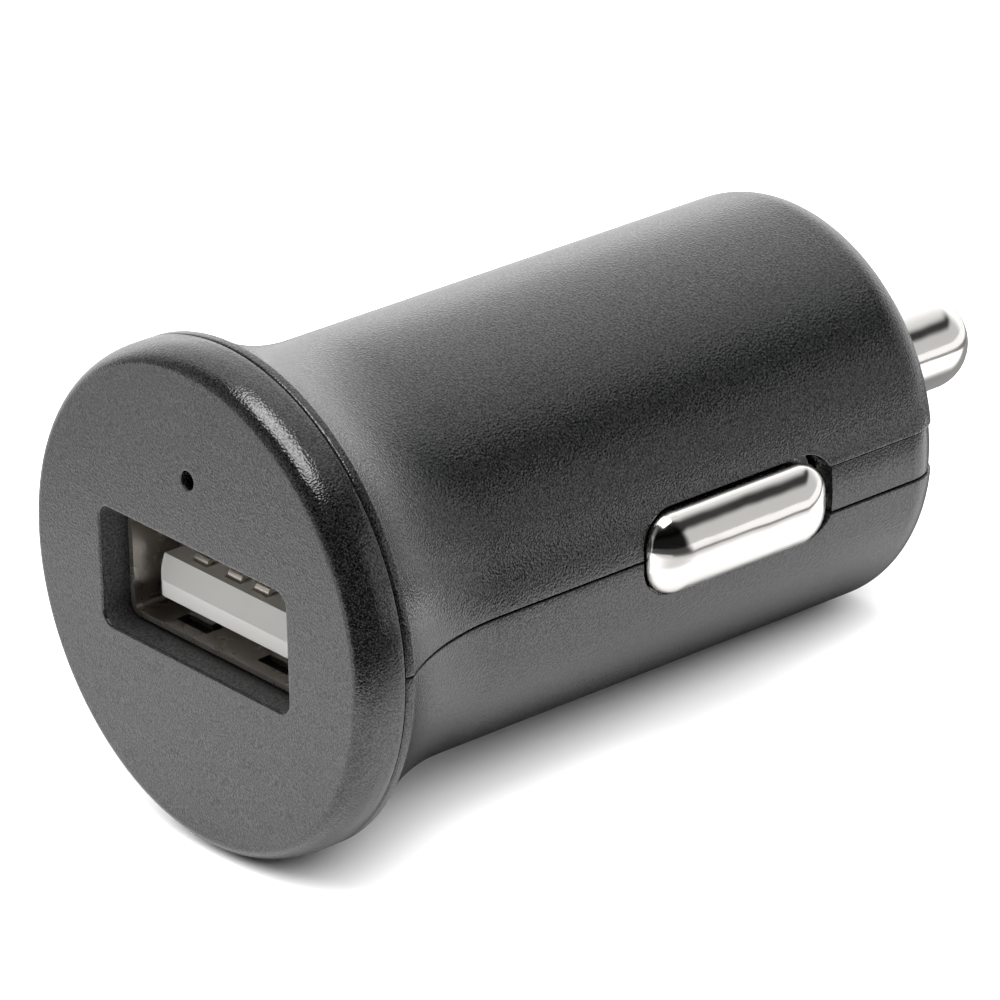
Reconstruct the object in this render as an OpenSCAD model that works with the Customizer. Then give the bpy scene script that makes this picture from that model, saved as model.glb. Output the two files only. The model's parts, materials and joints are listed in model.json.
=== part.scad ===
// Plug for a vehicle's power socket that charges one device.
// The plug lies on its flange and on the rear edge of its barrel, with its
// face towards -Y and its sprung tip towards +Y. Each piece is drawn on the
// plug's own axis, with the face at y = 0, and resting() then lays it down.

/* [Face and flange] */
// How far the flange stands out from the barrel
flange_out = 2.15; // [1.8:0.05:2.6]
// Width of the rounded rim round the flat face
rim_round = 0.86; // [0.6:0.02:1.2]
// Depth over which the rim rounds off, along the axis
rim_depth = 1.7; // [1:0.1:2]
// Depth of the seam between the face cap and the housing
seam_y = 2.45; // [2.2:0.05:3]
// Thickness of the wall behind the face
face_wall = 1.5; // [1:0.1:1.8]
// Width of the lip between the seam and the flare
lip_w = 0.46; // [0.3:0.02:1]
// Radius of the hollow flare from the lip to the barrel
flare_r = 12; // [9:0.5:14]
// How far the skirt that plugs into the housing lies inside the barrel's radius
skirt_step = 0.35; // [0.3:0.05:0.5]
// Wall of the skirt
skirt_wall = 1.1; // [0.8:0.1:1.2]
// Depth of the skirt's end behind the face
skirt_end = 5.4; // [5:0.1:6]
// Diameter of the pinhole in front of the lamp
pinhole_d = 0.9; // [0.6:0.1:1.4]
// Distance from the skirt's inner wall to the middle of the lamp
lamp_in = 2.37; // [2.3:0.01:2.6]

/* [Barrel] */
// How far the barrel stands out beyond the sides of the socket
barrel_over = 3.7; // [3.5:0.05:4.2]
// Rounding of the barrel's rear edge
end_round = 2.3; // [1:0.1:2.6]
// Wall of the barrel
barrel_wall = 1.5; // [1.4:0.05:1.6]
// Thickness of the end wall
end_wall = 1.8; // [1.4:0.1:2]
// Gap at the parting line between the halves
parting_gap = 0.08; // [0.04:0.02:0.16]

/* [Tip] */
// Radius of the sprung tip
tip_r = 2.4; // [2:0.1:2.6]
// Distance from the barrel's end to the point of the tip
tip_reach = 9.97; // [8:0.1:12]
// Travel of the tip into the barrel
tip_travel = 3; // [2.5:0.1:3.2]
// Running clearance round the tip
tip_clear = 0.05; // [0.02:0.01:0.08]
// How far the collar that keeps the tip in stands out from it
collar_out = 0.9; // [0.7:0.05:1]
// Thickness of that collar
collar_t = 1.3; // [1:0.1:1.6]
// Radius of the tip spring's wire
tip_wire_r = 0.3; // [0.2:0.05:0.35]
// Turns of the tip spring
tip_turns = 5; // [4:1:5]

/* [Side contacts] */
// Length of a side contact
contact_l = 11.3; // [9:0.1:11.5]
// Width of a side contact
contact_w = 4.1; // [3.6:0.1:4.4]
// How far the crown of a side contact stands out from the barrel
contact_stand = 1.25; // [0.8:0.05:1.6]
// Straight part of a contact's ends, between its rounded corners
contact_flat = 0.7; // [0.6:0.1:1.2]
// How much the crown's radius exceeds half the contact's width
crown_more = 0.45; // [0.3:0.05:1.5]
// Rounding of the contact's shoulders
contact_shoulder = 0.8; // [0.6:0.05:1]
// Sheet thickness of the contact
contact_wall = 0.45; // [0.3:0.05:0.5]
// Distance from the contact's rear end to the barrel's end
contact_back = 8.1; // [8:0.1:9]
// Travel of a side contact into the barrel
contact_travel = 1; // [0.7:0.1:1.2]
// Gap round a side contact
contact_gap = 0.15; // [0.1:0.01:0.3]
// Gap between a side contact and the arm behind it
contact_rear_gap = 0.5; // [0.3:0.05:0.8]
// Width of the arm that shows behind a side contact
arm_w = 2.28; // [1.8:0.02:2.6]
// How far the arm lies below the barrel's skin
arm_sink = 0.12; // [0.05:0.01:0.3]

/* [Socket] */
// Gap between the window's sides and the socket's steel shell
window_side = 0.35; // [0.2:0.05:0.5]
// Gap between the window and the shell above and below
window_over = 0.17; // [0.1:0.01:0.3]
// Rounding of the window's corners
window_corner = 0.7; // [0.4:0.1:1]
// Depth of the socket's front edge behind the face
socket_y = 1.4; // [0.6:0.1:1.8]
// Outer width of the socket's steel shell
socket_w = 13.1; // [12.9:0.05:13.2]
// Outer height of the socket's steel shell
socket_h = 5.72; // [5.6:0.02:5.8]
// Length of the socket's steel shell
socket_l = 13.8; // [12:0.1:14]
// Sheet thickness of the socket's steel shell
socket_t = 0.3; // [0.2:0.05:0.35]
// Room beside the tongue, out to the shell's outer face
tongue_side = 1; // [0.9:0.05:1.1]
// Thickness of the tongue
tongue_t = 1.84; // [1.7:0.02:1.9]
// Height of the tongue's lower face above the shell's outer bottom
tongue_lift = 1.16; // [1:0.02:1.3]
// Depth of the tongue's front edge behind the socket's
tongue_in = 0.7; // [0.4:0.1:1.5]

/* [Circuit board] */
// Thickness of the board
board_t = 1.2; // [0.8:0.1:1.3]
// Room between the board's lower edges and the barrel's inner wall
board_clear = 0.2; // [0.1:0.05:0.4]
// Room on the board between the lamp's legs and the two capacitors
board_room = 0.9; // [0.7:0.1:6]
// Length of the two capacitors
can_l = 7; // [6:0.5:9]

/* [Hidden] */

$fn = 64;
eps = 0.01;
CHARCOAL = "#2b2b2d";
NICKEL = "#cfcfcb";
IVORY = "#e9e6dc";
BRASS = "#c9a64a";

// Seats between the moulded pieces
slip = 0.05;
seam_groove = 0.06;
seam_groove_in = 0.35;
bead_r = 0.25;
bead_y = skirt_end - 0.8;

// The socket, its tongue and its pins
window_w = socket_w + 2 * window_side;
window_h = socket_h + 2 * window_over;
socket_end = socket_y + socket_l;
block_y = socket_end - 4.3;
block_end = socket_end - 0.3;
tongue_y = socket_y + tongue_in;
tongue_w = socket_w - 2 * tongue_side;
tongue_low = tongue_lift - socket_h / 2;
tongue_top = tongue_low + tongue_t;
pin_w = 1;
pin_t = 0.25;
pin_xs = [-3.5, -1, 1, 3.5];
pin_z = tongue_top - 0.14;
pin_tip_rise = 0.22;
pin_bump_rise = 0.34;
pin_foot_y = socket_end + 0.55;
pin_foot_l = 1.2;
leaf_w = 1.7;
leaf_slit = 0.3;
leaf_y = socket_y + 0.7;
leaf_root_y = leaf_y + 6.1;
leaf_xs = [-2.96, 3.11];
leaf_dip = 0.4;
leg_y = socket_y + 6.6;
leg_w = 1.2;

// The barrel is as wide as the socket and the board need
barrel_r = socket_w / 2 + barrel_over;
cavity_r = barrel_r - barrel_wall;
board_top = -socket_h / 2;
board_low = board_top - board_t;
board_half = sqrt(pow(cavity_r - board_clear, 2) - pow(board_low, 2));
skirt_r = barrel_r - skirt_step;
skirt_in = skirt_r - skirt_wall;
collar_wall = 1;
collar_end = 3.6;

// The lamp behind the pinhole
lamp_z = skirt_in - lamp_in;
lamp_r = 1.5;
lamp_l = 2.5;
lamp_dome_y = face_wall + lamp_r + 0.1;
lamp_leg_x = 1.27;
lamp_leg_r = 0.25;
lamp_leg_y = pin_foot_y + pin_foot_l + 0.75;

// The barrel is as long as the board, the tip's guide, its travel and its closed spring need
can_y = lamp_leg_y + board_room;
can_tail = 1.2;
board_y = collar_end + 0.3;
board_end = can_y + can_l + can_tail;
terminal_t = 0.4;
terminal_tail = 2.6;
guide_y = board_end + 0.35 + terminal_t;
collar_y = guide_y + tip_travel + (2 * tip_turns + 1) * tip_wire_r;
shoulder_y = collar_y + collar_t + slip;
cavity_end = shoulder_y + 1.1;
barrel_end = cavity_end + end_wall;
collar_r = tip_r + collar_out;
ring_r = tip_r + 2.6;
guide_r = collar_r + 0.1;
guide_wall = 1;
spigot_r = tip_r - 0.5;
spigot_l = 1.6;
tip_coil_r = guide_r - tip_wire_r - 0.5;

// The flange and its flare
rim_r = barrel_r + flange_out;
flat_r = rim_r - rim_round;
lip_y = seam_y + lip_w;
flare_y = lip_y + sqrt(2 * flange_out * flare_r - flange_out * flange_out);

// How the plug lies: a line under the lip's rear edge and the barrel's rounded rear edge
lie_run = barrel_end - end_round - lip_y;
lie_drop = flange_out + end_round;
lie_tilt = atan(lie_drop / lie_run) - asin(end_round / norm([lie_run, lie_drop]));
lie_lift = lip_y * sin(lie_tilt) + rim_r * cos(lie_tilt);
low_y = rim_depth * cos(lie_tilt) - flat_r * sin(lie_tilt)
    - norm([rim_depth * cos(lie_tilt), rim_round * sin(lie_tilt)]);
nose_y = barrel_end + tip_reach - tip_r;
high_y = nose_y * cos(lie_tilt) + tip_r;
mid_y = (low_y + high_y) / 2;

// The side contacts, their windows and the arms behind them
contact_reach = barrel_r + contact_stand;
contact_corner = (contact_w - contact_flat) / 2;
contact_crown = contact_w / 2 + crown_more;
seat_x = cavity_r + 0.05;
flange_t = 0.4;
flange_rim = 0.55;
flange_x = seat_x - slip - flange_t;
contact_end = barrel_end - contact_back;
contact_y = contact_end - contact_l;
slot_y = contact_y - 0.2;
slot_end = contact_end + contact_rear_gap;
slot_half = contact_w / 2 + contact_gap;
arm_gap = 0.08;
arm_half = arm_w / 2;
arm_y = contact_end + flange_rim + 0.5;
tray_t = 0.75;
tray_half = contact_w / 2 + 0.25;
spring_t = 0.3;
spring_half = contact_w / 2 - contact_wall - 0.6;
tray_x = flange_x - contact_travel - 0.7 - spring_t - tray_t;
crest_top = contact_reach - contact_crown
    + sqrt(pow(contact_crown - contact_wall, 2) - pow(spring_half, 2)) - slip;
can_gap = 0.15;
can_r = (tray_x - 0.45 - can_gap) / 2;

// Where the shells hold the board and the socket
ledge_x = board_half - 0.8;
ledge_ys = [skirt_end + 0.4, socket_end - 0.7];
ledge_l = 2;
post_x = board_half - 0.5;
post_y = socket_y + 8.6;
post_l = 2;
blade_y = post_y + 1;
side_part_x = board_half - 2.8;
outside = rim_r + 1;

// Lays what is drawn on the axis down on its flange and its rear edge
module resting() {
    translate([0, -mid_y, lie_lift])
        rotate([-lie_tilt, 0, 0])
            children();
}

// Spins a section about the axis: x is the radius, y the distance from the face
module turned() {
    rotate([-90, 0, 0])
        rotate_extrude($fn = 128)
            children();
}

// A round bar on the axis from one depth to another
module bar(radius, from, to) {
    translate([0, from, 0])
        rotate([-90, 0, 0])
            cylinder(r = radius, h = to - from);
}

// A block between two corners
module block(low, high) {
    translate(low)
        cube(high - low);
}

// Pushes an outline drawn in x and z along y
module along_y(from, to) {
    translate([0, to, 0])
        rotate([90, 0, 0])
            linear_extrude(to - from)
                children();
}

// Pushes an outline drawn in y and z along x
module along_x(from, to) {
    translate([from, 0, 0])
        rotate([90, 0, 90])
            linear_extrude(to - from)
                children();
}

// Pushes an outline drawn in x and y along z
module along_z(from, to) {
    translate([0, 0, from])
        linear_extrude(to - from)
            children();
}

// A rectangle with round corners, from its low corner
module rounded_rect(size, radius) {
    translate([radius, 0])
        square([size[0] - 2 * radius, size[1]]);
    translate([0, radius])
        square([size[0], size[1] - 2 * radius]);
    for (x = [radius, size[0] - radius], y = [radius, size[1] - radius])
        translate([x, y])
            circle(radius);
}

// A strip of sheet seen from its edge, bent at each inner point of its route
module bent_strip(route, thick) {
    for (i = [0 : len(route) - 2]) {
        run = route[i + 1] - route[i];
        translate(route[i])
            rotate(atan2(run[1], run[0]))
                translate([0, -thick / 2])
                    square([norm(run), thick]);
    }
    for (i = [1 : len(route) - 2])
        translate(route[i])
            circle(d = thick, $fn = 24);
}

// One edge of a strip of sheet where the route has its point i, on the bend's mitre
function strip_edge(route, i, shift) =
    let (
        last = len(route) - 1,
        before = route[max(i, 1)] - route[max(i, 1) - 1],
        after = route[min(i, last - 1) + 1] - route[min(i, last - 1)],
        a = before / norm(before),
        b = after / norm(after),
        mid = (a + b) / norm(a + b)
    )
    route[i] + shift / (mid * a) * [-mid[1], mid[0]];

// A thin strip of sheet seen from its edge, with mitred bends
module mitred_strip(route, thick) {
    last = len(route) - 1;
    polygon(concat(
        [for (i = [0 : last]) strip_edge(route, i, thick / 2)],
        [for (i = [last : -1 : 0]) strip_edge(route, i, -thick / 2)]
    ));
}

// A wire with round elbows
module bent_wire(route, radius) {
    for (i = [0 : len(route) - 2]) {
        run = route[i + 1] - route[i];
        turn = [0, acos(run[2] / norm(run)), atan2(run[1], run[0])];
        translate(route[i])
            rotate(turn)
                cylinder(r = radius, h = norm(run), $fn = 24);
    }
    for (i = [1 : len(route) - 2])
        translate(route[i])
            sphere(radius, $fn = 24);
}

// The same thing on the other side of the plug
module on_side(side) {
    if (side < 0)
        mirror([1, 0, 0])
            children();
    else
        children();
}

// The quarter ellipse of the rim, from the flat face to the widest line
function rim_curve(steps) = [
    for (i = [0 : steps])
        let (a = 90 * i / steps)
        [flat_r + rim_round * sin(a), rim_depth * (1 - cos(a))]
];

// Outline of the housing from the seam to its end, as if it were solid
module housing_outline() {
    difference() {
        translate([0, seam_y])
            square([rim_r, flare_y - seam_y]);
        translate([barrel_r + flare_r, flare_y])
            circle(flare_r);
        translate([rim_r, seam_y])
            rotate(45)
                square(seam_groove * sqrt(2), center = true);
    }
    barrel_outline(0);
}

// Outline of the straight barrel with its rounded end, sunk by an even amount
module barrel_outline(sink) {
    corner = [barrel_r - end_round, barrel_end - end_round];
    translate([0, seam_y])
        square([barrel_r - sink, corner[1] - seam_y]);
    translate([0, seam_y])
        square([corner[0], barrel_end - sink - seam_y]);
    translate(corner)
        circle(end_round - sink);
}

// What is hollow inside the housing
module cavity_outline() {
    translate([0, seam_y - 1])
        square([skirt_r + slip, skirt_end + 0.2 - seam_y + 1]);
    translate([skirt_r, bead_y])
        circle(bead_r + slip, $fn = 24);
    translate([0, seam_y - 1])
        square([cavity_r, cavity_end - seam_y + 1]);
}

// Moulded window, pocket and rear slot for one side contact
module contact_opening() {
    along_x(cavity_r - 1.5, rim_r)
        translate([slot_y, -slot_half])
            rounded_rect([slot_end - slot_y, 2 * slot_half], contact_corner + contact_gap);
    block([cavity_r - 1.5, slot_y - 0.8, -slot_half - 0.7], [seat_x, slot_end + 0.5, slot_half + 0.7]);
    block([cavity_r - 1.5, slot_end - 1, -arm_half - arm_gap], [rim_r, barrel_end + 1, arm_half + arm_gap]);
    block([ring_r - 1, cavity_end - 0.1, -arm_half - arm_gap], [rim_r, barrel_end + 1, arm_half + arm_gap]);
}

// Both halves of the housing before they are parted
module housing() {
    difference() {
        turned()
            difference() {
                housing_outline();
                cavity_outline();
            }
        for (side = [-1, 1])
            on_side(side)
                contact_opening();
        bar(ring_r + slip, cavity_end - 1, barrel_end + 1);
    }
}

// The ridge in the lower half's edge that seats in the upper half's groove
ridge_y = flare_y + 1.5;
ridge_end = contact_y - 2;
ridge_x = cavity_r + 0.4;
ridge_w = 0.55;
ridge_h = 0.5;
module ridges(room) {
    for (side = [-1, 1])
        on_side(side)
            block(
                [ridge_x - room, ridge_y - room, -0.5],
                [ridge_x + ridge_w + room, ridge_end + room, ridge_h + room]
            );
}

// Ribs are drawn as blocks and grow out of the barrel's inner wall
rib_root = cavity_r + 0.3;
module ribs(reach, from, to) {
    intersection() {
        bar(reach, from, to);
        for (side = [-1, 1])
            on_side(side)
                children();
    }
}

module face_cap() {
    collar_w = window_w + 2 * collar_wall;
    collar_h = window_h + 2 * collar_wall;
    color(CHARCOAL)
        resting()
            difference() {
                union() {
                    turned()
                        cap_section();
                    along_y(face_wall - eps, collar_end)
                        translate([-collar_w / 2, -collar_h / 2])
                            square([collar_w, collar_h]);
                    translate([0, 0, lamp_z])
                        bar(lamp_r + 0.75, face_wall - eps, face_wall + 3);
                }
                along_y(-1, collar_end + 1)
                    translate([-window_w / 2, -window_h / 2])
                        rounded_rect([window_w, window_h], window_corner);
                translate([0, 0, lamp_z])
                    bar(pinhole_d / 2, -1, face_wall + 1);
                translate([0, 0, lamp_z])
                    bar(lamp_r + 0.1, face_wall, face_wall + 4);
            }
}

// Section of the cap: face wall, rounded rim, seam step, skirt and snap bead
module cap_section() {
    polygon(concat(
        [[0, 0]],
        rim_curve(16),
        [
            [rim_r, seam_y - seam_groove],
            [rim_r - seam_groove_in, seam_y - seam_groove],
            [rim_r - seam_groove_in, seam_y],
            [skirt_r, seam_y],
            [skirt_r, skirt_end],
            [skirt_r - skirt_wall, skirt_end],
            [skirt_r - skirt_wall, face_wall],
            [0, face_wall]
        ]
    ));
    translate([skirt_r, bead_y])
        circle(bead_r, $fn = 24);
}

module upper_shell() {
    color(CHARCOAL)
        resting()
            difference() {
                union() {
                    intersection() {
                        housing();
                        block([-outside, 0, parting_gap / 2], [outside, barrel_end + 1, outside]);
                    }
                    // Posts press on the board's edges, and hang below the parting line
                    ribs(rib_root, post_y, post_y + post_l)
                        block([post_x, post_y - 1, parting_gap / 2], [rib_root, post_y + post_l + 1, 3]);
                    ribs(cavity_r - 0.1, post_y, post_y + post_l)
                        block([post_x, post_y - 1, board_top], [rib_root, post_y + post_l + 1, 1]);
                    // Blades that hold the socket down
                    ribs(rib_root, blade_y, blade_y + 1)
                        block([2.5, blade_y - 1, socket_h / 2], [4.5, blade_y + 2, rib_root]);
                }
                ridges(slip);
            }
}

module lower_shell() {
    color(CHARCOAL)
        resting()
            union() {
                intersection() {
                    housing();
                    block([-outside, 0, -outside], [outside, barrel_end + 1, -parting_gap / 2]);
                }
                ridges(0);
                // Ledges under the board's edges
                for (y = ledge_ys)
                    ribs(rib_root, y, y + ledge_l)
                        block([ledge_x, y - 1, -rib_root], [rib_root, y + ledge_l + 1, board_low]);
            }
}

module nose_carrier() {
    color(CHARCOAL)
        resting()
            difference() {
                union() {
                    bar(ring_r, cavity_end, barrel_end);
                    bar(guide_r + guide_wall, guide_y, cavity_end + eps);
                    intersection() {
                        turned()
                            barrel_outline(arm_sink);
                        for (side = [-1, 1])
                            on_side(side)
                                carrier_arm();
                    }
                    for (side = [-1, 1])
                        on_side(side)
                            block(
                                [tray_x, contact_y - 0.8, -tray_half],
                                [tray_x + tray_t, arm_y + 0.5, tray_half]
                            );
                }
                bar(guide_r, guide_y - 1, shoulder_y);
                bar(tip_r + tip_clear, 0, barrel_end + 1);
            }
}

// One arm: it shows behind the contact and ties the tray to the tip's guide
module carrier_arm() {
    block([guide_r + guide_wall / 2, arm_y, -arm_half], [barrel_r, barrel_end, arm_half]);
    block([seat_x + 0.1, slot_end - 0.05, -arm_half], [barrel_r, arm_y + 0.5, arm_half]);
}

module tip_contact() {
    color(NICKEL)
        resting()
            turned()
                tip_section();
}

// Section of the tip: round nose, shaft, collar and the spigot that centres the spring
module tip_section() {
    translate([0, collar_y])
        square([tip_r, nose_y - collar_y]);
    translate([0, collar_y])
        square([collar_r, collar_t]);
    translate([0, collar_y - spigot_l])
        square([spigot_r, spigot_l + eps]);
    translate([0, nose_y])
        intersection() {
            circle(tip_r);
            square(tip_r + 1);
        }
}

// Points round the wire at one place along a coil about the axis
function coil_ring(centre, turn, wire, sides) = [
    for (k = [0 : sides - 1])
        let (
            a = 360 * k / sides,
            out = tip_coil_r + wire * cos(a)
        )
        [out * cos(turn), centre + wire * sin(a), out * sin(turn)]
];

module tip_spring() {
    sides = 8;
    steps = tip_turns * 12;
    from = guide_y + tip_wire_r + 0.05;
    to = collar_y - tip_wire_r - 0.05;
    rings = [
        for (i = [0 : steps])
            each coil_ring(from + (to - from) * i / steps, 30 * i, tip_wire_r, sides)
    ];
    walls = [
        for (i = [0 : steps - 1], k = [0 : sides - 1])
            let (
                next = (k + 1) % sides,
                here = i * sides,
                there = here + sides
            )
            each [
                [here + k, there + k, there + next],
                [here + k, there + next, here + next]
            ]
    ];
    first = [for (k = [sides - 1 : -1 : 0]) sides - 1 - k];
    last = [for (k = [sides - 1 : -1 : 0]) steps * sides + k];
    color("#b9b9b5")
        resting()
            polyhedron(rings, concat(walls, [first, last]));
}

module tip_terminal() {
    color(BRASS)
        resting()
            union() {
                bar(guide_r + guide_wall - 0.2, guide_y - terminal_t, guide_y);
                block([-1, board_end - terminal_tail, board_top], [1, guide_y - 0.1, board_top + terminal_t]);
            }
}

// Section across a crowned pad: straight sides, round shoulders and a round crown that meet smoothly
module crowned(width, height, crown, shoulder) {
    side = width / 2 - shoulder;
    rise = sqrt(pow(crown - shoulder, 2) - side * side);
    foot = height - crown;
    translate([-width / 2, 0])
        square([width, foot + rise]);
    for (end = [-1, 1])
        translate([end * side, foot + rise])
            circle(shoulder);
    translate([0, foot])
        intersection() {
            circle(crown);
            polygon([[0, 0], [2 * side, 2 * rise], [0, 2 * crown], [-2 * side, 2 * rise]]);
        }
}

// Section along a crowned pad: it falls off at both ends as it does across its width
module crowned_length(length, width, height, crown, shoulder) {
    for (end = [-1, 1])
        translate([end * (length - width) / 2, 0])
            crowned(width, height, crown, shoulder);
    translate([-(length - width) / 2, 0])
        square([length - width, height]);
}

// A pressed pad: rounded in plan at its corners, and crowned across its width
module pad(length, width, height, corner, crown, shoulder) {
    for (x = [corner, length - corner], y = [corner, width - corner])
        translate([x, y - width / 2, 0])
            rotate_extrude()
                intersection() {
                    translate([corner - width / 2, 0])
                        crowned(width, height, crown, shoulder);
                    square([corner + 1, height + 1]);
                }
    translate([corner, 0, 0])
        rotate([90, 0, 90])
            linear_extrude(length - 2 * corner)
                crowned(width, height, crown, shoulder);
    intersection() {
        translate([length / 2, width / 2 - corner, 0])
            rotate([90, 0, 0])
                linear_extrude(width - 2 * corner)
                    crowned_length(length, width, height, crown, shoulder);
        rotate([90, 0, 90])
            linear_extrude(length)
                crowned(width, height, crown, shoulder);
    }
}

// One side contact: a hollow pressed pad with a rim that stops behind the wall
module side_contact(side) {
    height = contact_reach - flange_x;
    inner_l = contact_l - 2 * contact_wall;
    inner_w = contact_w - 2 * contact_wall;
    inner_h = height - contact_wall + eps;
    inner_corner = contact_corner - contact_wall;
    inner_crown = contact_crown - contact_wall;
    inner_shoulder = contact_shoulder - contact_wall;
    color(NICKEL)
        resting()
            on_side(side)
                difference() {
                    union() {
                        translate([flange_x, contact_y, 0])
                            rotate([90, 0, 90])
                                pad(
                                    contact_l,
                                    contact_w,
                                    height,
                                    contact_corner,
                                    contact_crown,
                                    contact_shoulder
                                );
                        along_x(flange_x, flange_x + flange_t)
                            translate([contact_y - flange_rim, -contact_w / 2 - flange_rim])
                                rounded_rect(
                                    [contact_l + 2 * flange_rim, contact_w + 2 * flange_rim],
                                    contact_corner + flange_rim
                                );
                    }
                    translate([flange_x - eps, contact_y + contact_wall, 0])
                        rotate([90, 0, 90])
                            pad(inner_l, inner_w, inner_h, inner_corner, inner_crown, inner_shoulder);
                }
}

module side_contact_left() {
    side_contact(-1);
}

module side_contact_right() {
    side_contact(1);
}

// One leaf spring: its feet lie on the carrier's tray, its crest lifts the contact
module side_spring(side) {
    foot_x = tray_x + tray_t + spring_t / 2;
    crest_x = crest_top - spring_t / 2;
    route = [
        [foot_x, contact_y - 2.3],
        [foot_x, contact_y + 0.9],
        [crest_x, contact_y + 3.4],
        [crest_x, contact_end - 3.4],
        [foot_x, contact_end - 0.9],
        [foot_x, contact_end + 0.6]
    ];
    color("#c8b27a")
        resting()
            on_side(side)
                union() {
                    along_z(-spring_half, spring_half)
                        bent_strip(route, spring_t);
                    // The tab goes down to the board
                    block(
                        [foot_x - spring_t / 2, contact_y - 2.3, board_top],
                        [foot_x + spring_t / 2, contact_y - 1.1, 0]
                    );
                }
}

module side_spring_left() {
    side_spring(-1);
}

module side_spring_right() {
    side_spring(1);
}

// A spring leaf cut from the socket's wall and bent inwards
module socket_leaf() {
    wall_z = (socket_h - socket_t) / 2;
    route = [
        [leaf_root_y + 0.3, -wall_z],
        [leaf_root_y - 1.6, -wall_z + 0.1],
        [leaf_y + 2.2, -wall_z + leaf_dip],
        [leaf_y + 0.6, -wall_z + 0.15]
    ];
    for (x = leaf_xs)
        along_x(x - leaf_w / 2, x + leaf_w / 2)
            bent_strip(route, socket_t);
}

module usb_shell() {
    color("#8d8a84")
        resting()
            union() {
                difference() {
                    along_y(socket_y, socket_end)
                        difference() {
                            translate([-socket_w / 2, -socket_h / 2])
                                rounded_rect([socket_w, socket_h], 0.6);
                            translate([-socket_w / 2 + socket_t, -socket_h / 2 + socket_t])
                                rounded_rect([socket_w - 2 * socket_t, socket_h - 2 * socket_t], 0.3);
                        }
                    for (x = leaf_xs)
                        block(
                            [x - leaf_w / 2 - leaf_slit, leaf_y, -socket_h],
                            [x + leaf_w / 2 + leaf_slit, leaf_root_y, socket_h]
                        );
                }
                socket_leaf();
                mirror([0, 0, 1])
                    socket_leaf();
                // Legs that pass through the board
                for (side = [-1, 1])
                    on_side(side)
                        block(
                            [socket_w / 2 - socket_t, leg_y, board_low - 0.8],
                            [socket_w / 2, leg_y + leg_w, 0]
                        );
            }
}

// Outline of the tongue seen from the side, with its chamfered front edge
module tongue_outline() {
    polygon([
        [block_y + 1, tongue_low],
        [tongue_y, tongue_low],
        [tongue_y, tongue_low + 0.8],
        [tongue_y + 0.6, tongue_top],
        [block_y + 1, tongue_top]
    ]);
}

module usb_insulator() {
    color(IVORY)
        resting()
            difference() {
                union() {
                    intersection() {
                        along_x(-tongue_w / 2, tongue_w / 2)
                            tongue_outline();
                        along_z(-socket_h, socket_h)
                            translate([-tongue_w / 2, tongue_y])
                                rounded_rect([tongue_w, block_y + 2 - tongue_y], 0.7);
                    }
                    along_y(block_y, block_end)
                        translate([-socket_w / 2 + socket_t + 0.02, -socket_h / 2 + socket_t + 0.02])
                            rounded_rect(
                                [socket_w - 2 * socket_t - 0.04, socket_h - 2 * socket_t - 0.04],
                                0.3
                            );
                }
                for (x = pin_xs) {
                    block(
                        [x - pin_w / 2 - 0.1, tongue_y + 1, pin_z - pin_t / 2 - 0.01],
                        [x + pin_w / 2 + 0.1, block_y, tongue_top + 1]
                    );
                    block(
                        [x - pin_w / 2 - 0.02, block_y - 1, pin_z - pin_t / 2 - 0.01],
                        [x + pin_w / 2 + 0.02, block_end + 1, pin_z + pin_t / 2 + 0.01]
                    );
                }
            }
}

// One pin: a sprung bump over the tongue, a straight root and a foot on the board
module usb_pin(place) {
    x = pin_xs[place - 1];
    route = [
        [tongue_y + 1.15, pin_z + pin_tip_rise],
        [tongue_y + 2.7, pin_z + pin_bump_rise],
        [tongue_y + 4.8, pin_z],
        [pin_foot_y, pin_z],
        [pin_foot_y, board_top + pin_t / 2],
        [pin_foot_y + pin_foot_l, board_top + pin_t / 2]
    ];
    color(BRASS)
        resting()
            along_x(x - pin_w / 2, x + pin_w / 2)
                mitred_strip(route, pin_t);
}

module usb_pin_1() {
    usb_pin(1);
}

module usb_pin_2() {
    usb_pin(2);
}

module usb_pin_3() {
    usb_pin(3);
}

module usb_pin_4() {
    usb_pin(4);
}

module circuit_board() {
    color("#1f6b3a")
        resting()
            difference() {
                block([-board_half, board_y, board_low], [board_half, board_end, board_top]);
                for (side = [-1, 1])
                    on_side(side)
                        block(
                            [socket_w / 2 - socket_t - 0.05, leg_y - 0.05, board_low - 1],
                            [socket_w / 2 + 0.05, leg_y + leg_w + 0.05, board_top + 1]
                        );
            }
}

// The inductor hangs under the board: a ferrite drum with its winding in the waist
inductor_y = board_end - 6.2;
inductor_r = (board_half - 1.12) / 2;
inductor_h = 3.4;
inductor_brim = 0.6;
inductor_waist = 1.5;
module inductor_core() {
    color("#3a3a3c")
        resting()
            translate([0, inductor_y, board_low - inductor_h])
                rotate_extrude()
                    union() {
                        square([inductor_waist, inductor_h]);
                        square([inductor_r, inductor_brim]);
                        translate([0, inductor_h - inductor_brim])
                            square([inductor_r, inductor_brim]);
                    }
}

module inductor_winding() {
    color("#b5703a")
        resting()
            translate([0, inductor_y, board_low - inductor_h + inductor_brim])
                rotate_extrude()
                    translate([inductor_waist, 0])
                        square([inductor_r - inductor_waist - 0.25, inductor_h - 2 * inductor_brim]);
}

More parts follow.
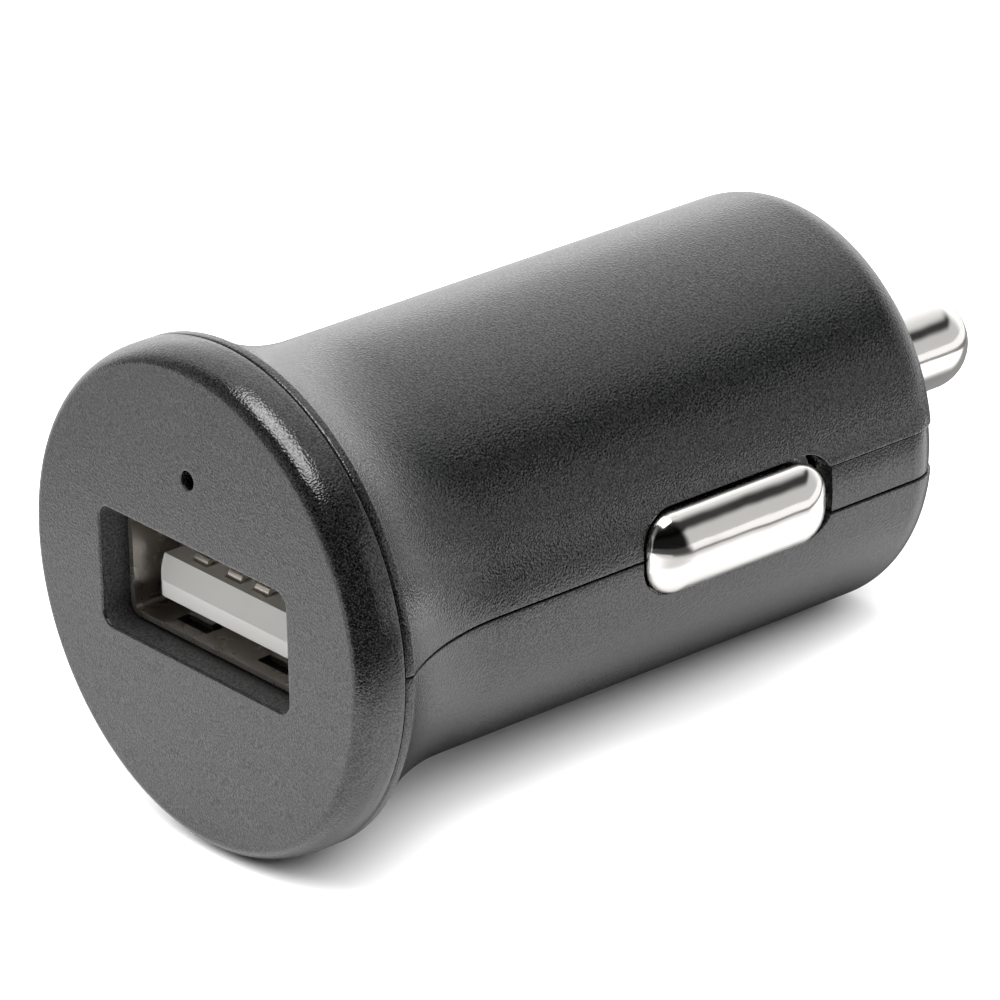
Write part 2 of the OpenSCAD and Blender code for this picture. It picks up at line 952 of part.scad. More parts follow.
// A can capacitor lies on the board, with its two legs bent down behind it
module can_capacitor(x) {
    can_z = board_top + can_r;
    turned_leg_y = can_y + can_l + 0.6;
    resting()
        union() {
            translate([x, 0, can_z])
                difference() {
                    bar(can_r, can_y, can_y + can_l);
                    translate([0, can_y + can_l - 1, 0])
                        rotate([-90, 0, 0])
                            rotate_extrude()
                                translate([can_r + 0.1, 0])
                                    circle(0.3, $fn = 24);
                }
            for (side = [-1, 1])
                bent_wire(
                    [
                        [x + side, can_y + can_l - 0.3, can_z],
                        [x + side, turned_leg_y, can_z],
                        [x + side, turned_leg_y, board_top]
                    ],
                    0.22
                );
        }
}

module input_capacitor() {
    color("#20243a")
        can_capacitor(-can_r - can_gap);
}

module output_capacitor() {
    color("#20243a")
        can_capacitor(can_r + can_gap);
}

// The regulator under the board, with four leads on each side
chip_y = socket_y + 10.4;
chip_x = -2.4;
chip_l = 4.9;
chip_w = 3.9;
chip_h = 1.45;
chip_lift = 0.1;
module regulator_chip() {
    color("#18181a")
        resting()
            block(
                [chip_x - chip_w / 2, chip_y - chip_l / 2, board_low - chip_lift - chip_h],
                [chip_x + chip_w / 2, chip_y + chip_l / 2, board_low - chip_lift]
            );
}

module regulator_leads() {
    lead_t = 0.2;
    lead_w = 0.42;
    pitch = 1.27;
    edge = chip_w / 2;
    mid_z = board_low - chip_lift - chip_h / 2;
    foot_z = board_low - lead_t / 2;
    route = [[edge, mid_z], [edge + 0.4, mid_z], [edge + 0.4, foot_z], [edge + 1, foot_z]];
    color("#bdbdb8")
        resting()
            for (side = [-1, 1], i = [0 : 3])
                translate([chip_x, chip_y + (i - 1.5) * pitch + lead_w / 2, 0])
                    on_side(side)
                        rotate([90, 0, 0])
                            linear_extrude(lead_w)
                                bent_strip(route, lead_t);
}

// A small part soldered flat under the board: [length, width, height] of each kind
diode_size = [2.6, 4.3, 2.1];
fuse_size = [1.6, 3.2, 0.6];
resistor_size = [1.25, 2, 0.5];
capacitor_size = [1.6, 3.2, 1.2];
diode_at = [2.8, socket_y + 11.2];
fuse_at = [side_part_x, board_end - 2.4];
resistor_1_at = [-side_part_x, lamp_leg_y - 0.3];
resistor_2_at = [-side_part_x, board_end - 2.4];
resistor_3_at = [-2.4, board_y + 3.5];
capacitor_1_at = [side_part_x, lamp_leg_y - 0.1];
capacitor_2_at = [2.8, board_y + 3.7];
module chip_part(at, size) {
    block(
        [at[0] - size[0] / 2, at[1] - size[1] / 2, board_low - size[2]],
        [at[0] + size[0] / 2, at[1] + size[1] / 2, board_low]
    );
}

module catch_diode() {
    color("#1c1c1e")
        resting()
            chip_part(diode_at, diode_size);
}

module chip_fuse() {
    color("#e4e0d2")
        resting()
            chip_part(fuse_at, fuse_size);
}

module chip_resistor_1() {
    color("#222222")
        resting()
            chip_part(resistor_1_at, resistor_size);
}

module chip_resistor_2() {
    color("#222222")
        resting()
            chip_part(resistor_2_at, resistor_size);
}

module chip_resistor_3() {
    color("#222222")
        resting()
            chip_part(resistor_3_at, resistor_size);
}

module chip_capacitor_1() {
    color("#b99b6b")
        resting()
            chip_part(capacitor_1_at, capacitor_size);
}

module chip_capacitor_2() {
    color("#b99b6b")
        resting()
            chip_part(capacitor_2_at, capacitor_size);
}

module indicator_lamp() {
    base_y = lamp_dome_y + lamp_l;
    color("#cfe3ea")
        resting()
            translate([0, 0, lamp_z])
                turned() {
                    translate([0, lamp_dome_y])
                        square([lamp_r, base_y - lamp_dome_y]);
                    translate([0, base_y - 0.6])
                        square([lamp_r + 0.2, 0.6]);
                    translate([0, lamp_dome_y])
                        intersection() {
                            circle(lamp_r);
                            translate([0, -lamp_r])
                                square(lamp_r);
                        }
                }
}

module lamp_leg(side) {
    base_y = lamp_dome_y + lamp_l;
    color("#bdbdb8")
        resting()
            bent_wire(
                [
                    [side * lamp_leg_x, base_y, lamp_z],
                    [side * lamp_leg_x, lamp_leg_y, lamp_z],
                    [side * lamp_leg_x, lamp_leg_y, board_top]
                ],
                lamp_leg_r
            );
}

module lamp_leg_left() {
    lamp_leg(-1);
}

module lamp_leg_right() {
    lamp_leg(1);
}

face_cap();
upper_shell();
lower_shell();
nose_carrier();
tip_contact();
tip_spring();
tip_terminal();
side_contact_left();
side_contact_right();
side_spring_left();
side_spring_right();
usb_shell();
usb_insulator();
usb_pin_1();
usb_pin_2();
usb_pin_3();
usb_pin_4();
circuit_board();
inductor_core();
inductor_winding();
input_capacitor();
output_capacitor();
regulator_chip();
regulator_leads();
catch_diode();
chip_fuse();
chip_resistor_1();
chip_resistor_2();
chip_resistor_3();
chip_capacitor_1();
chip_capacitor_2();
indicator_lamp();
lamp_leg_left();
lamp_leg_right();
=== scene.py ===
import bpy
import bmesh
import json
import numpy as np
from mathutils import Matrix, Vector


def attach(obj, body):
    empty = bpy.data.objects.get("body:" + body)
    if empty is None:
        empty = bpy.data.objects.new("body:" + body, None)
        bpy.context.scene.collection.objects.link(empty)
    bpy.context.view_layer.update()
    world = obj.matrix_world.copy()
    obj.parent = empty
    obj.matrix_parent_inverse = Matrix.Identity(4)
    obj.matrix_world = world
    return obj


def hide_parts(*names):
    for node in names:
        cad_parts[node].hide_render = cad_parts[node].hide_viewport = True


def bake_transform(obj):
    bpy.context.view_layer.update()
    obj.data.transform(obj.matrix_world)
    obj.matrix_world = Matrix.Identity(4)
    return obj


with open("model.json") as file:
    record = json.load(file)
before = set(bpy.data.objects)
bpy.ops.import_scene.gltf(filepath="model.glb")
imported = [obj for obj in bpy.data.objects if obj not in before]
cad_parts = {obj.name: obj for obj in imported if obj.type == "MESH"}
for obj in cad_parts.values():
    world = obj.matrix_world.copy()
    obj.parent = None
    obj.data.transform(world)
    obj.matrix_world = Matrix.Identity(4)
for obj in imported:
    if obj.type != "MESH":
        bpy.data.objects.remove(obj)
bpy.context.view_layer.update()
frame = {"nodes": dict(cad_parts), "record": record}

# Table and studio
# The plug lies on a white sheet in a small open set: low white walls round it except on the camera's
# side, a large soft light behind its left side, a small one high behind it, and a softbox right above.
sheet_half = 1.5
table = bpy.data.meshes.new("table_top")
sheet_corners = [(x * sheet_half, y * sheet_half, 0) for x, y in ((-1, -1), (1, -1), (1, 1), (-1, 1))]
table.from_pydata(sheet_corners, [], [(0, 1, 2, 3)])
table_top = bpy.data.objects.new("table_top", table)
bpy.context.collection.objects.link(table_top)


def new_material(name):
    """A material with an empty node tree, its node list, its link list and its output."""
    material = bpy.data.materials.new(name)
    material.use_nodes = True
    nodes = material.node_tree.nodes
    nodes.clear()
    return material, nodes, material.node_tree.links, nodes.new("ShaderNodeOutputMaterial")


def result(nodes, links, operation, *values):
    """The output of a Math node whose inputs are these values, each a number or a socket."""
    node = nodes.new("ShaderNodeMath")
    node.operation = operation
    for socket, value in zip(node.inputs, values):
        if isinstance(value, (int, float)):
            socket.default_value = value
        else:
            links.new(value, socket)
    return node.outputs[0]


def step(nodes, links, value, low, high):
    """A smooth step: 0 where the value is at low and 1 where it is at high, which may be the smaller."""
    node = nodes.new("ShaderNodeMapRange")
    node.interpolation_type = "SMOOTHSTEP"
    node.inputs["From Min"].default_value = low
    node.inputs["From Max"].default_value = high
    links.new(value, node.inputs["Value"])
    return node.outputs[0]


def pointing(nodes, links, vector, azimuth, elevation):
    """A vector's part along one direction; azimuth is from the plug's face side towards its right."""
    turn, rise = np.radians([azimuth, elevation])
    node = nodes.new("ShaderNodeVectorMath")
    node.operation = "DOT_PRODUCT"
    links.new(vector, node.inputs[0])
    node.inputs[1].default_value = (np.sin(turn) * np.cos(rise), -np.cos(turn) * np.cos(rise), np.sin(rise))
    return node.outputs["Value"]


# The sheet is plain white. In reflections it is painted as a small one with painted shade: some in
# front of the plug, most under it, as a painted shadow, and on its right, and nearly all in a dark band
# 44 to 60 mm out behind its right. Past 60 mm the painted shade stands for the foot of the walls and,
# on the camera's side, next to nothing.
painted_shade_front, painted_shade_least, painted_shadow_under, painted_shade_right, painted_band_shade = 0.27, 0.05, 0.85, 0.68, 0.9
painted_wall_foot_shade, painted_open_side_shade = 0.47, 0.5
paper, nodes, links, out = new_material("white_table")
spot = nodes.new("ShaderNodeTexCoord").outputs["Object"]
spot_parts = nodes.new("ShaderNodeSeparateXYZ")
links.new(spot, spot_parts.inputs[0])
distance = nodes.new("ShaderNodeVectorMath")
distance.operation = "LENGTH"
links.new(spot, distance.inputs[0])
away = distance.outputs["Value"]
in_front = step(nodes, links, spot_parts.outputs["Y"], -0.014, -0.026)
beneath = step(nodes, links, spot_parts.outputs["X"], 0.011, 0.004)
to_right = step(nodes, links, spot_parts.outputs["X"], 0.016, 0.040)
# Painted shade in the sheet's reflections: a little everywhere, and more in front of the plug
painted_shade = result(nodes, links, "MULTIPLY", in_front, painted_shade_front)
painted_shade = result(nodes, links, "MAXIMUM", painted_shade, painted_shade_least)
# Painted shadow under the plug, away from its front, seen in reflections
shade = result(nodes, links, "MULTIPLY", beneath, result(nodes, links, "SUBTRACT", 1.0, in_front))
painted_shade = result(nodes, links, "MAXIMUM", painted_shade, result(nodes, links, "MULTIPLY", shade, painted_shadow_under))
# Painted shade on the sheet 16 to 40 mm out on the plug's right, seen in reflections
painted_shade = result(nodes, links, "MAXIMUM", painted_shade, result(nodes, links, "MULTIPLY", to_right, painted_shade_right))
# A painted dark band from 44 mm out behind the plug's right, seen in reflections
behind_right = result(nodes, links, "DIVIDE", pointing(nodes, links, spot, 128, 0), away)
dark_band_side = step(nodes, links, behind_right, 0.3, 0.6)
painted_dark_band = result(nodes, links, "MULTIPLY", step(nodes, links, away, 0.044, 0.047), dark_band_side)
painted_shade = result(nodes, links, "MAXIMUM", painted_shade, result(nodes, links, "MULTIPLY", painted_dark_band, painted_band_shade))
# Past 60 mm the sheet is painted darker in reflections, for the foot of the walls and, on the camera's side,
# for next to nothing
outside = step(nodes, links, away, 0.057, 0.060)
camera_side = result(nodes, links, "DIVIDE", pointing(nodes, links, spot, 64, 0), away)
open_side = step(nodes, links, camera_side, 0.5, 0.75)
beyond = result(nodes, links, "MULTIPLY_ADD", open_side, painted_open_side_shade, painted_wall_foot_shade)
change = result(nodes, links, "SUBTRACT", beyond, painted_shade)
painted_shade = result(nodes, links, "MULTIPLY_ADD", change, outside, painted_shade)
paths = nodes.new("ShaderNodeLightPath").outputs
# The painted shade is shown in reflections only; the camera sees the sheet plain white
painted_shade_in_reflections = result(nodes, links, "MULTIPLY", painted_shade, paths["Is Glossy Ray"])
left_over = result(nodes, links, "MULTIPLY_ADD", painted_shade_in_reflections, -1, 1)
# The sheet's grey is 0.55 for the light that it throws on the plug, 0.65 in reflections and 0.82 in view
plain_grey, more_to_camera, more_to_mirror = 0.55, 0.27, 0.1
thrown = result(nodes, links, "MULTIPLY_ADD", paths["Is Camera Ray"], more_to_camera, plain_grey)
thrown = result(nodes, links, "MULTIPLY_ADD", paths["Is Glossy Ray"], more_to_mirror, thrown)
white = nodes.new("ShaderNodeBsdfDiffuse")
links.new(result(nodes, links, "MULTIPLY", left_over, thrown), white.inputs["Color"])
links.new(white.outputs[0], out.inputs["Surface"])
table.materials.append(paper)

room = bpy.data.worlds.new("studio_room")
bpy.context.scene.world = room
room.use_nodes = True
nodes, links = room.node_tree.nodes, room.node_tree.links
nodes.clear()
ray = nodes.new("ShaderNodeTexCoord").outputs["Generated"]
ray_parts = nodes.new("ShaderNodeSeparateXYZ")
links.new(ray, ray_parts.inputs[0])
rise = ray_parts.outputs["Z"]
# The softbox is a rectangle in the plane above: places in it are the ray's x and y over its z
softbox_level = 7.4
softbox_edges = {"X": ((-0.37, -0.23), (0.63, 0.50)), "Y": ((-0.37, -0.23), (0.30, 0.16))}
overhead = step(nodes, links, rise, 0.3, 0.4)
for axis_name, edges in softbox_edges.items():
    place = result(nodes, links, "DIVIDE", ray_parts.outputs[axis_name], rise)
    for low, high in edges:
        overhead = result(nodes, links, "MULTIPLY", overhead, step(nodes, links, place, low, high))
# The light behind the left side reaches 25 to 70 degrees to either side of its middle and weakens upwards
left_light_level, left_light_fall, left_light_middle = 2.3, -1.0, -133
toward = pointing(nodes, links, ray, left_light_middle, 0)
across = pointing(nodes, links, ray, left_light_middle + 90, 0)
turned = result(nodes, links, "ABSOLUTE", result(nodes, links, "ARCTAN2", across, toward))
behind = step(nodes, links, turned, np.radians(70).item(), np.radians(25).item())
behind_level = result(nodes, links, "MULTIPLY_ADD", rise, left_light_fall, left_light_level)
# The walls fade out between 20 and 30 degrees up, and the front one, which is less bright, between 30
# and 49
front_wall_level, front_dimming = 0.85, -0.3
front = step(nodes, links, pointing(nodes, links, ray, -40, 0), 0.2, 0.65)
walls = step(nodes, links, rise, 0.50, 0.34)
front_wall = result(nodes, links, "MULTIPLY", front, step(nodes, links, rise, 0.75, 0.5))
front_wall = result(nodes, links, "MULTIPLY", front_wall, front_wall_level)
walls = result(nodes, links, "MAXIMUM", walls, front_wall)
wall_level = result(nodes, links, "MULTIPLY_ADD", front, front_dimming, 1.0)
walls = result(nodes, links, "MULTIPLY", walls, wall_level)
# Above the walls the room is dim, but for the light high behind the plug. The camera's side is open
dim_level, dim_front_gain, rear_light_level = 0.06, 0.25, 1.2
room_level, open_level = 0.75, 0.01
closed = step(nodes, links, pointing(nodes, links, ray, 64, 14), 0.72, 0.5)
dim = result(nodes, links, "MULTIPLY_ADD", front, dim_front_gain, dim_level)
rear_light = step(nodes, links, pointing(nodes, links, ray, 175, 62), 0.84, 0.95)
upper = result(nodes, links, "MULTIPLY_ADD", rear_light, rear_light_level, dim)
rest = result(nodes, links, "MAXIMUM", walls, upper)
rest_level = result(nodes, links, "MULTIPLY_ADD", closed, room_level, open_level)
rest = result(nodes, links, "MULTIPLY", rest, rest_level)
blend = nodes.new("ShaderNodeMix")
blend.data_type = "FLOAT"
links.new(behind, blend.inputs[0])
links.new(rest, blend.inputs[2])
links.new(behind_level, blend.inputs[3])
room_light = nodes.new("ShaderNodeBackground")
light = result(nodes, links, "MULTIPLY_ADD", overhead, softbox_level, blend.outputs[0])
links.new(light, room_light.inputs["Strength"])
backdrop = nodes.new("ShaderNodeBackground")
backdrop.inputs["Strength"].default_value = 1.0
paths = nodes.new("ShaderNodeLightPath").outputs
seen = result(nodes, links, "MAXIMUM", paths["Is Camera Ray"], paths["Is Transmission Ray"])
either = nodes.new("ShaderNodeMixShader")
links.new(seen, either.inputs[0])
links.new(room_light.outputs[0], either.inputs[1])
links.new(backdrop.outputs[0], either.inputs[2])
links.new(either.outputs[0], nodes.new("ShaderNodeOutputWorld").inputs["Surface"])

# Two broad lamps light only the sheet, which keeps it white up to the plug's foot on both sides
lamp_spread = 44
sheet_lamps = (("sheet_lamp_right", 4.6, (0.63, -0.17, 0.76)), ("sheet_lamp_left", 4.4, (-0.62, -0.42, 0.66)))
sheet_only = bpy.data.collections.new("sheet_only")
sheet_only.objects.link(table_top)
for name, energy, lamp_from in sheet_lamps:
    lamp_data = bpy.data.lights.new(name, "SUN")
    lamp_data.energy = energy
    lamp_data.angle = np.radians(lamp_spread).item()
    lamp = bpy.data.objects.new(name, lamp_data)
    bpy.context.collection.objects.link(lamp)
    lamp.rotation_euler = Vector(lamp_from).to_track_quat("Z", "Y").to_euler()
    lamp.light_linking.receiver_collection = sheet_only

# The camera looks from the plug's front right, with the photo's own small roll
camera_place = [0.2333877, -0.1899637, 0.1600285]
azimuth, elevation, roll = np.radians([51.6373, 26.5696, -4.5401])
camera_data = bpy.data.cameras.new("camera")
camera = bpy.data.objects.new("camera", camera_data)
bpy.context.collection.objects.link(camera)
bpy.context.scene.camera = camera
camera_data.sensor_width = 36
camera_data.lens = 253.55
camera_data.clip_start = 0.01
level = np.array([np.cos(azimuth), np.sin(azimuth), 0.0])
back = np.array([
    np.sin(azimuth) * np.cos(elevation), -np.cos(azimuth) * np.cos(elevation), np.sin(elevation),
])
upward = np.cross(back, level)
turned_right = level * np.cos(roll) + upward * np.sin(roll)
turned_up = upward * np.cos(roll) - level * np.sin(roll)
pose = np.eye(4)
pose[:3, 0], pose[:3, 1], pose[:3, 2] = turned_right, turned_up, back
pose[:3, 3] = camera_place
camera.matrix_world = Matrix(pose.tolist())
bpy.context.scene.view_settings.view_transform = "Standard"

# Face cap
# The round cap is moulded in black plastic with a fine spark-eroded skin. It carries the socket's
# window and the pinhole for the lamp, and its skirt snaps into the housing behind the seam.
mounts = {mount["name"]: mount for mount in frame["record"]["mounts"]}
face_centre = np.array(mounts["usb_port"]["pos_m"])
axis = np.array(mounts["barrel_in_socket"]["pos_m"]) - face_centre
axis /= np.linalg.norm(axis)
sideways = np.array([1.0, 0.0, 0.0])
plug_up = np.cross(sideways, axis)


def laid_down(points):
    """The plug's own x, depth and height in millimetres, turned to how it lies, in metres."""
    return face_centre + 0.001 * (
        points[..., :1] * sideways + points[..., 1:2] * axis + points[..., 2:] * plug_up
    )


def grid_faces(rows, columns, round_rows=False, round_columns=False):
    """Quads between neighbours in a grid of points; a round one also joins its last line to its first."""
    places = np.arange(rows * columns).reshape(rows, columns)
    if round_rows:
        places = np.vstack([places, places[:1]])
    if round_columns:
        places = np.hstack([places, places[:, :1]])
    return np.stack([places[:-1, :-1], places[:-1, 1:], places[1:, 1:], places[1:, :-1]], axis=-1)


def closed_piece(name, patches):
    """One mesh from grids of points and their quads: welded where the grids meet, small gaps at their
    corners filled, faces turned outwards, and smooth but for creases of over 35 degrees."""
    points, quads, count = [], [], 0
    for patch, faces in patches:
        points.append(laid_down(patch.reshape(-1, 3)))
        quads.append(faces.reshape(-1, 4) + count)
        count += len(points[-1])
    mesh = bpy.data.meshes.new(name)
    mesh.from_pydata(np.concatenate(points).tolist(), [], np.concatenate(quads).tolist())
    shape = bmesh.new()
    shape.from_mesh(mesh)
    bmesh.ops.remove_doubles(shape, verts=shape.verts, dist=2e-7)
    bmesh.ops.holes_fill(shape, edges=shape.edges, sides=8)
    bmesh.ops.recalc_face_normals(shape, faces=shape.faces)
    shape.to_mesh(mesh)
    shape.free()
    mesh.shade_smooth()
    mesh.set_sharp_from_angle(angle=np.radians(35))
    piece = bpy.data.objects.new(name, mesh)
    bpy.context.collection.objects.link(piece)
    return piece


def noise_texture(nodes, links, scale, detail=2.0):
    """A noise in the piece's own space, with this many cells to the metre: its output from 0 to 1."""
    noise = nodes.new("ShaderNodeTexNoise")
    noise.inputs["Scale"].default_value = scale
    noise.inputs["Detail"].default_value = detail
    links.new(nodes.new("ShaderNodeTexCoord").outputs["Object"], noise.inputs["Vector"])
    return noise.outputs["Fac"]


def two_tones(nodes, links, share, first, second):
    """A colour between two: the first where the share is 0, the second where it is 1."""
    tones = nodes.new("ShaderNodeMix")
    tones.data_type = "RGBA"
    tones.inputs[6].default_value = (*first, 1)
    tones.inputs[7].default_value = (*second, 1)
    links.new(share, tones.inputs[0])
    return tones.outputs[2]


def raised(nodes, links, height, distance):
    """The normal of a skin that a pattern raises by up to this many metres."""
    bump = nodes.new("ShaderNodeBump")
    bump.inputs["Strength"].default_value = 1.0
    bump.inputs["Distance"].default_value = distance
    links.new(height, bump.inputs["Height"])
    return bump.outputs[0]


def finished(nodes, links, out, **looks):
    """A principled shader on the output; each look is an input's name with _ for space, and its value."""
    shader = nodes.new("ShaderNodeBsdfPrincipled")
    for look, value in looks.items():
        socket = shader.inputs[look.replace("_", " ")]
        if isinstance(value, bpy.types.NodeSocket):
            links.new(value, socket)
        else:
            socket.default_value = value
    links.new(shader.outputs[0], out.inputs["Surface"])


def black_plastic(name, grain=1.0):
    """Black plastic with a spark-eroded skin: pebbles a tenth of a millimetre across, raised by grain
    times 16 thousandths of a millimetre, and a finer mottle that varies its colour and its gloss."""
    material, nodes, links, out = new_material(name)
    pebbles = nodes.new("ShaderNodeTexVoronoi")
    pebbles.feature = "SMOOTH_F1"
    pebbles.inputs["Scale"].default_value = 9000
    pebbles.inputs["Smoothness"].default_value = 0.6
    links.new(nodes.new("ShaderNodeTexCoord").outputs["Object"], pebbles.inputs["Vector"])
    mottle = step(nodes, links, noise_texture(nodes, links, 11000, 1), 0.3, 0.7)
    finished(
        nodes, links, out, Roughness=0.14, IOR=1.65,
        Base_Color=two_tones(nodes, links, mottle, (0.001, 0.001, 0.001), (0.030, 0.030, 0.031)),
        Specular_IOR_Level=result(nodes, links, "MULTIPLY_ADD", mottle, 0.3, 0.35),
        Normal=raised(nodes, links, pebbles.outputs["Distance"], 0.000016 * grain),
    )
    return material


window_half = np.array([6.9, 3.03])
corner_r = 0.7
edge_r = 0.12
rim_r, flat_r, rim_depth = 12.4, 11.54, 1.7
seam_depth, groove, groove_in, lip_round = 2.45, 0.06, 0.35, 0.05
skirt_r, skirt_in, skirt_end = 9.9, 8.8, 5.4
snap_middle, snap_high, snap_half = 4.6, 0.25, 0.25
wall, collar_wall, collar_end = 1.5, 1.0, 3.6


def window_line(outset):
    """Outline of the window, moved out by an even amount: four arcs, and sides stepped evenly in angle."""
    half_w, half_h = window_half - corner_r
    tall = np.arctan2(half_h, window_half[0])
    wide = np.arctan2(half_w, window_half[1])
    up = np.tan(np.linspace(-tall, tall, 25)) / np.tan(tall)
    over = np.tan(np.linspace(wide, -wide, 85)) / np.tan(wide)
    arc = np.linspace(0, np.pi / 2, 17)
    r = corner_r + outset
    right = np.stack([np.full(len(up), half_w + r), half_h * up], -1)
    above = np.stack([half_w * over, np.full(len(over), half_h + r)], -1)
    turn = np.stack([half_w + r * np.cos(arc), half_h + r * np.sin(arc)], -1)[1:-1]
    half = np.concatenate([right, turn, above, (turn * [-1, 1])[::-1]])
    return np.concatenate([half, -half])


around = len(window_line(0))
heading = window_line(0)
heading = heading / np.linalg.norm(heading, axis=1, keepdims=True)


def ring(outline, depth):
    """An outline in x and height, set at one depth."""
    return np.stack([outline[:, 0], np.full(len(outline), depth), outline[:, 1]], -1)


bend = np.linspace(0, np.pi / 2, 7)
wall_rows = [ring(window_line(0), y) for y in (collar_end, 2.6, 1.4, 0.6, 0.25)]
edge_rows = [ring(window_line(edge_r * (1 - np.cos(a))), edge_r * (1 - np.sin(a))) for a in bend]
spread = np.linspace(0, 1, 52)[1:]
face_rows = [ring((1 - s) * window_line(edge_r) + s * flat_r * heading, 0) for s in spread]
sweep = np.linspace(0, np.pi / 2, 29)[1:]
rim_line = np.stack([flat_r + (rim_r - flat_r) * np.sin(sweep), rim_depth * (1 - np.cos(sweep))], -1)
rim_rows = [ring(r * heading, y) for r, y in rim_line]
lip = seam_depth - groove
side_steps = [
    (rim_r, 2.0), (rim_r, lip - lip_round), (rim_r - 0.015, lip - 0.015), (rim_r - lip_round, lip),
    (rim_r - groove_in, lip), (rim_r - groove_in, seam_depth), (skirt_r, seam_depth),
    (skirt_r, snap_middle - snap_half), (skirt_r + 0.8 * snap_high, snap_middle - 0.1),
    (skirt_r + snap_high, snap_middle), (skirt_r + 0.8 * snap_high, snap_middle + 0.1),
    (skirt_r, snap_middle + snap_half), (skirt_r, skirt_end), (skirt_in, skirt_end), (skirt_in, wall),
]
side_rows = [ring(r * heading, y) for r, y in side_steps]
inside = np.linspace(0, 1, 30)[1:]
collar_line = window_line(collar_wall)
inside_rows = [ring((1 - s) * skirt_in * heading + s * collar_line, wall) for s in inside]
collar_rows = [ring(collar_line, collar_end)]
cap_rows = wall_rows + edge_rows + face_rows + rim_rows + side_rows + inside_rows + collar_rows
cap_grid = np.stack(cap_rows)
cap_faces = grid_faces(len(cap_rows), around, round_rows=True, round_columns=True)
# The pinhole: a square of the face and of the wall behind it is left out, and rings close it round the hole
hole_z, hole_r, hole_edge, hole_step = 6.43, 0.45, 0.08, 0.8
top_column = int(np.argmax(heading[:, 1]))
first_face = len(wall_rows) + len(edge_rows)
face_heights = cap_grid[first_face:first_face + len(face_rows), top_column, 2]
face_row = first_face + int(np.argmin(abs(face_heights - hole_z)))
first_back = len(cap_rows) - 1 - len(inside_rows)
back_row = first_back + int(np.argmin(abs(cap_grid[first_back:-1, top_column, 2] - hole_z)))
reach = 5
steps = np.arange(-reach, reach)
edge_on = np.full(2 * reach, reach)
keep = np.ones(cap_faces.shape[:2], bool)
loops = []
for row, outward in ((face_row, 1), (back_row, -1)):
    keep[row - reach:row + reach, top_column - reach:top_column + reach] = False
    rows = np.concatenate([-edge_on, steps, edge_on, -steps]) * outward + row
    columns = np.concatenate([steps, edge_on, -steps, -edge_on]) + top_column
    loops.append(cap_grid[rows, columns])
square, back_square = loops
angles = np.arctan2(square[:, 2] - hole_z, square[:, 0])


def hole_ring(radius, depth):
    """A circle about the pinhole, one point for each point of the square round it."""
    x, z = radius * np.cos(angles), hole_z + radius * np.sin(angles)
    return np.stack([x, np.full(len(angles), depth), z], -1)


mouth = hole_ring(hole_r + hole_edge, 0)
rings = [square, 0.66 * square + 0.34 * mouth, 0.33 * square + 0.67 * mouth, mouth]
rings += [hole_ring(hole_r + hole_edge * (1 - np.sin(a)), hole_edge * (1 - np.cos(a))) for a in bend[1:]]
rings += [hole_ring(hole_r, hole_step), hole_ring(hole_r, wall), back_square]
hole_faces = grid_faces(len(rings), len(angles), round_columns=True)
face_cap = closed_piece("cap_skin", [(cap_grid, cap_faces[keep]), (np.stack(rings), hole_faces)])
face_cap.data.materials.append(black_plastic("cap_plastic", 0.7))
# The window's own walls are left matt from the tool
matt, nodes, links, out = new_material("window_plastic")
mottle = step(nodes, links, noise_texture(nodes, links, 9000), 0.25, 0.75)
matt_colour = two_tones(nodes, links, mottle, (0.01, 0.01, 0.01), (0.11, 0.11, 0.112))
finished(nodes, links, out, Base_Color=matt_colour, Roughness=0.45)
face_cap.data.materials.append(matt)
centres = np.empty(3 * len(face_cap.data.polygons), np.float32)
face_cap.data.polygons.foreach_get("center", centres)
centres = (centres.reshape(-1, 3) - face_centre) * 1000
near_x, near_z = window_half + [0.2, 0.17]
in_window = (abs(centres @ sideways) < near_x) & (abs(centres @ plug_up) < near_z)
in_window &= (centres @ axis > edge_r) & (centres @ axis < collar_end)
face_cap.data.polygons.foreach_set("material_index", in_window.astype(np.int32))
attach(face_cap, "root")
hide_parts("face_cap")

# Two halves of the housing
# The barrel and its flare are two halves of the same black plastic, parted level with both side
# contacts and welded. Notches in their edges make the windows for the contacts.
barrel_r, barrel_end, end_round = 10.25, 38.1, 2.3
flare_r, flare_start, flare_end = 12.0, 2.98, 9.7604
front_r, front_in, front_end = 12.395, 9.95, 2.91
cavity_r, cavity_end, seat_r = 8.75, 36.3, 5.05
skirt_room_r, skirt_room_end = 9.95, 5.6
half_gap, part_edge = 0.04, 0.07
slot_start, slot_end, slot_half, slot_corner = 18.5, 30.5, 2.2, 1.85
arm_half = 1.22


def edge_run(radius, depth, height):
    """Rows of radius, depth and height, where each is a number for all rows or one number a row."""
    return np.stack(np.broadcast_arrays(radius, depth, height), -1)


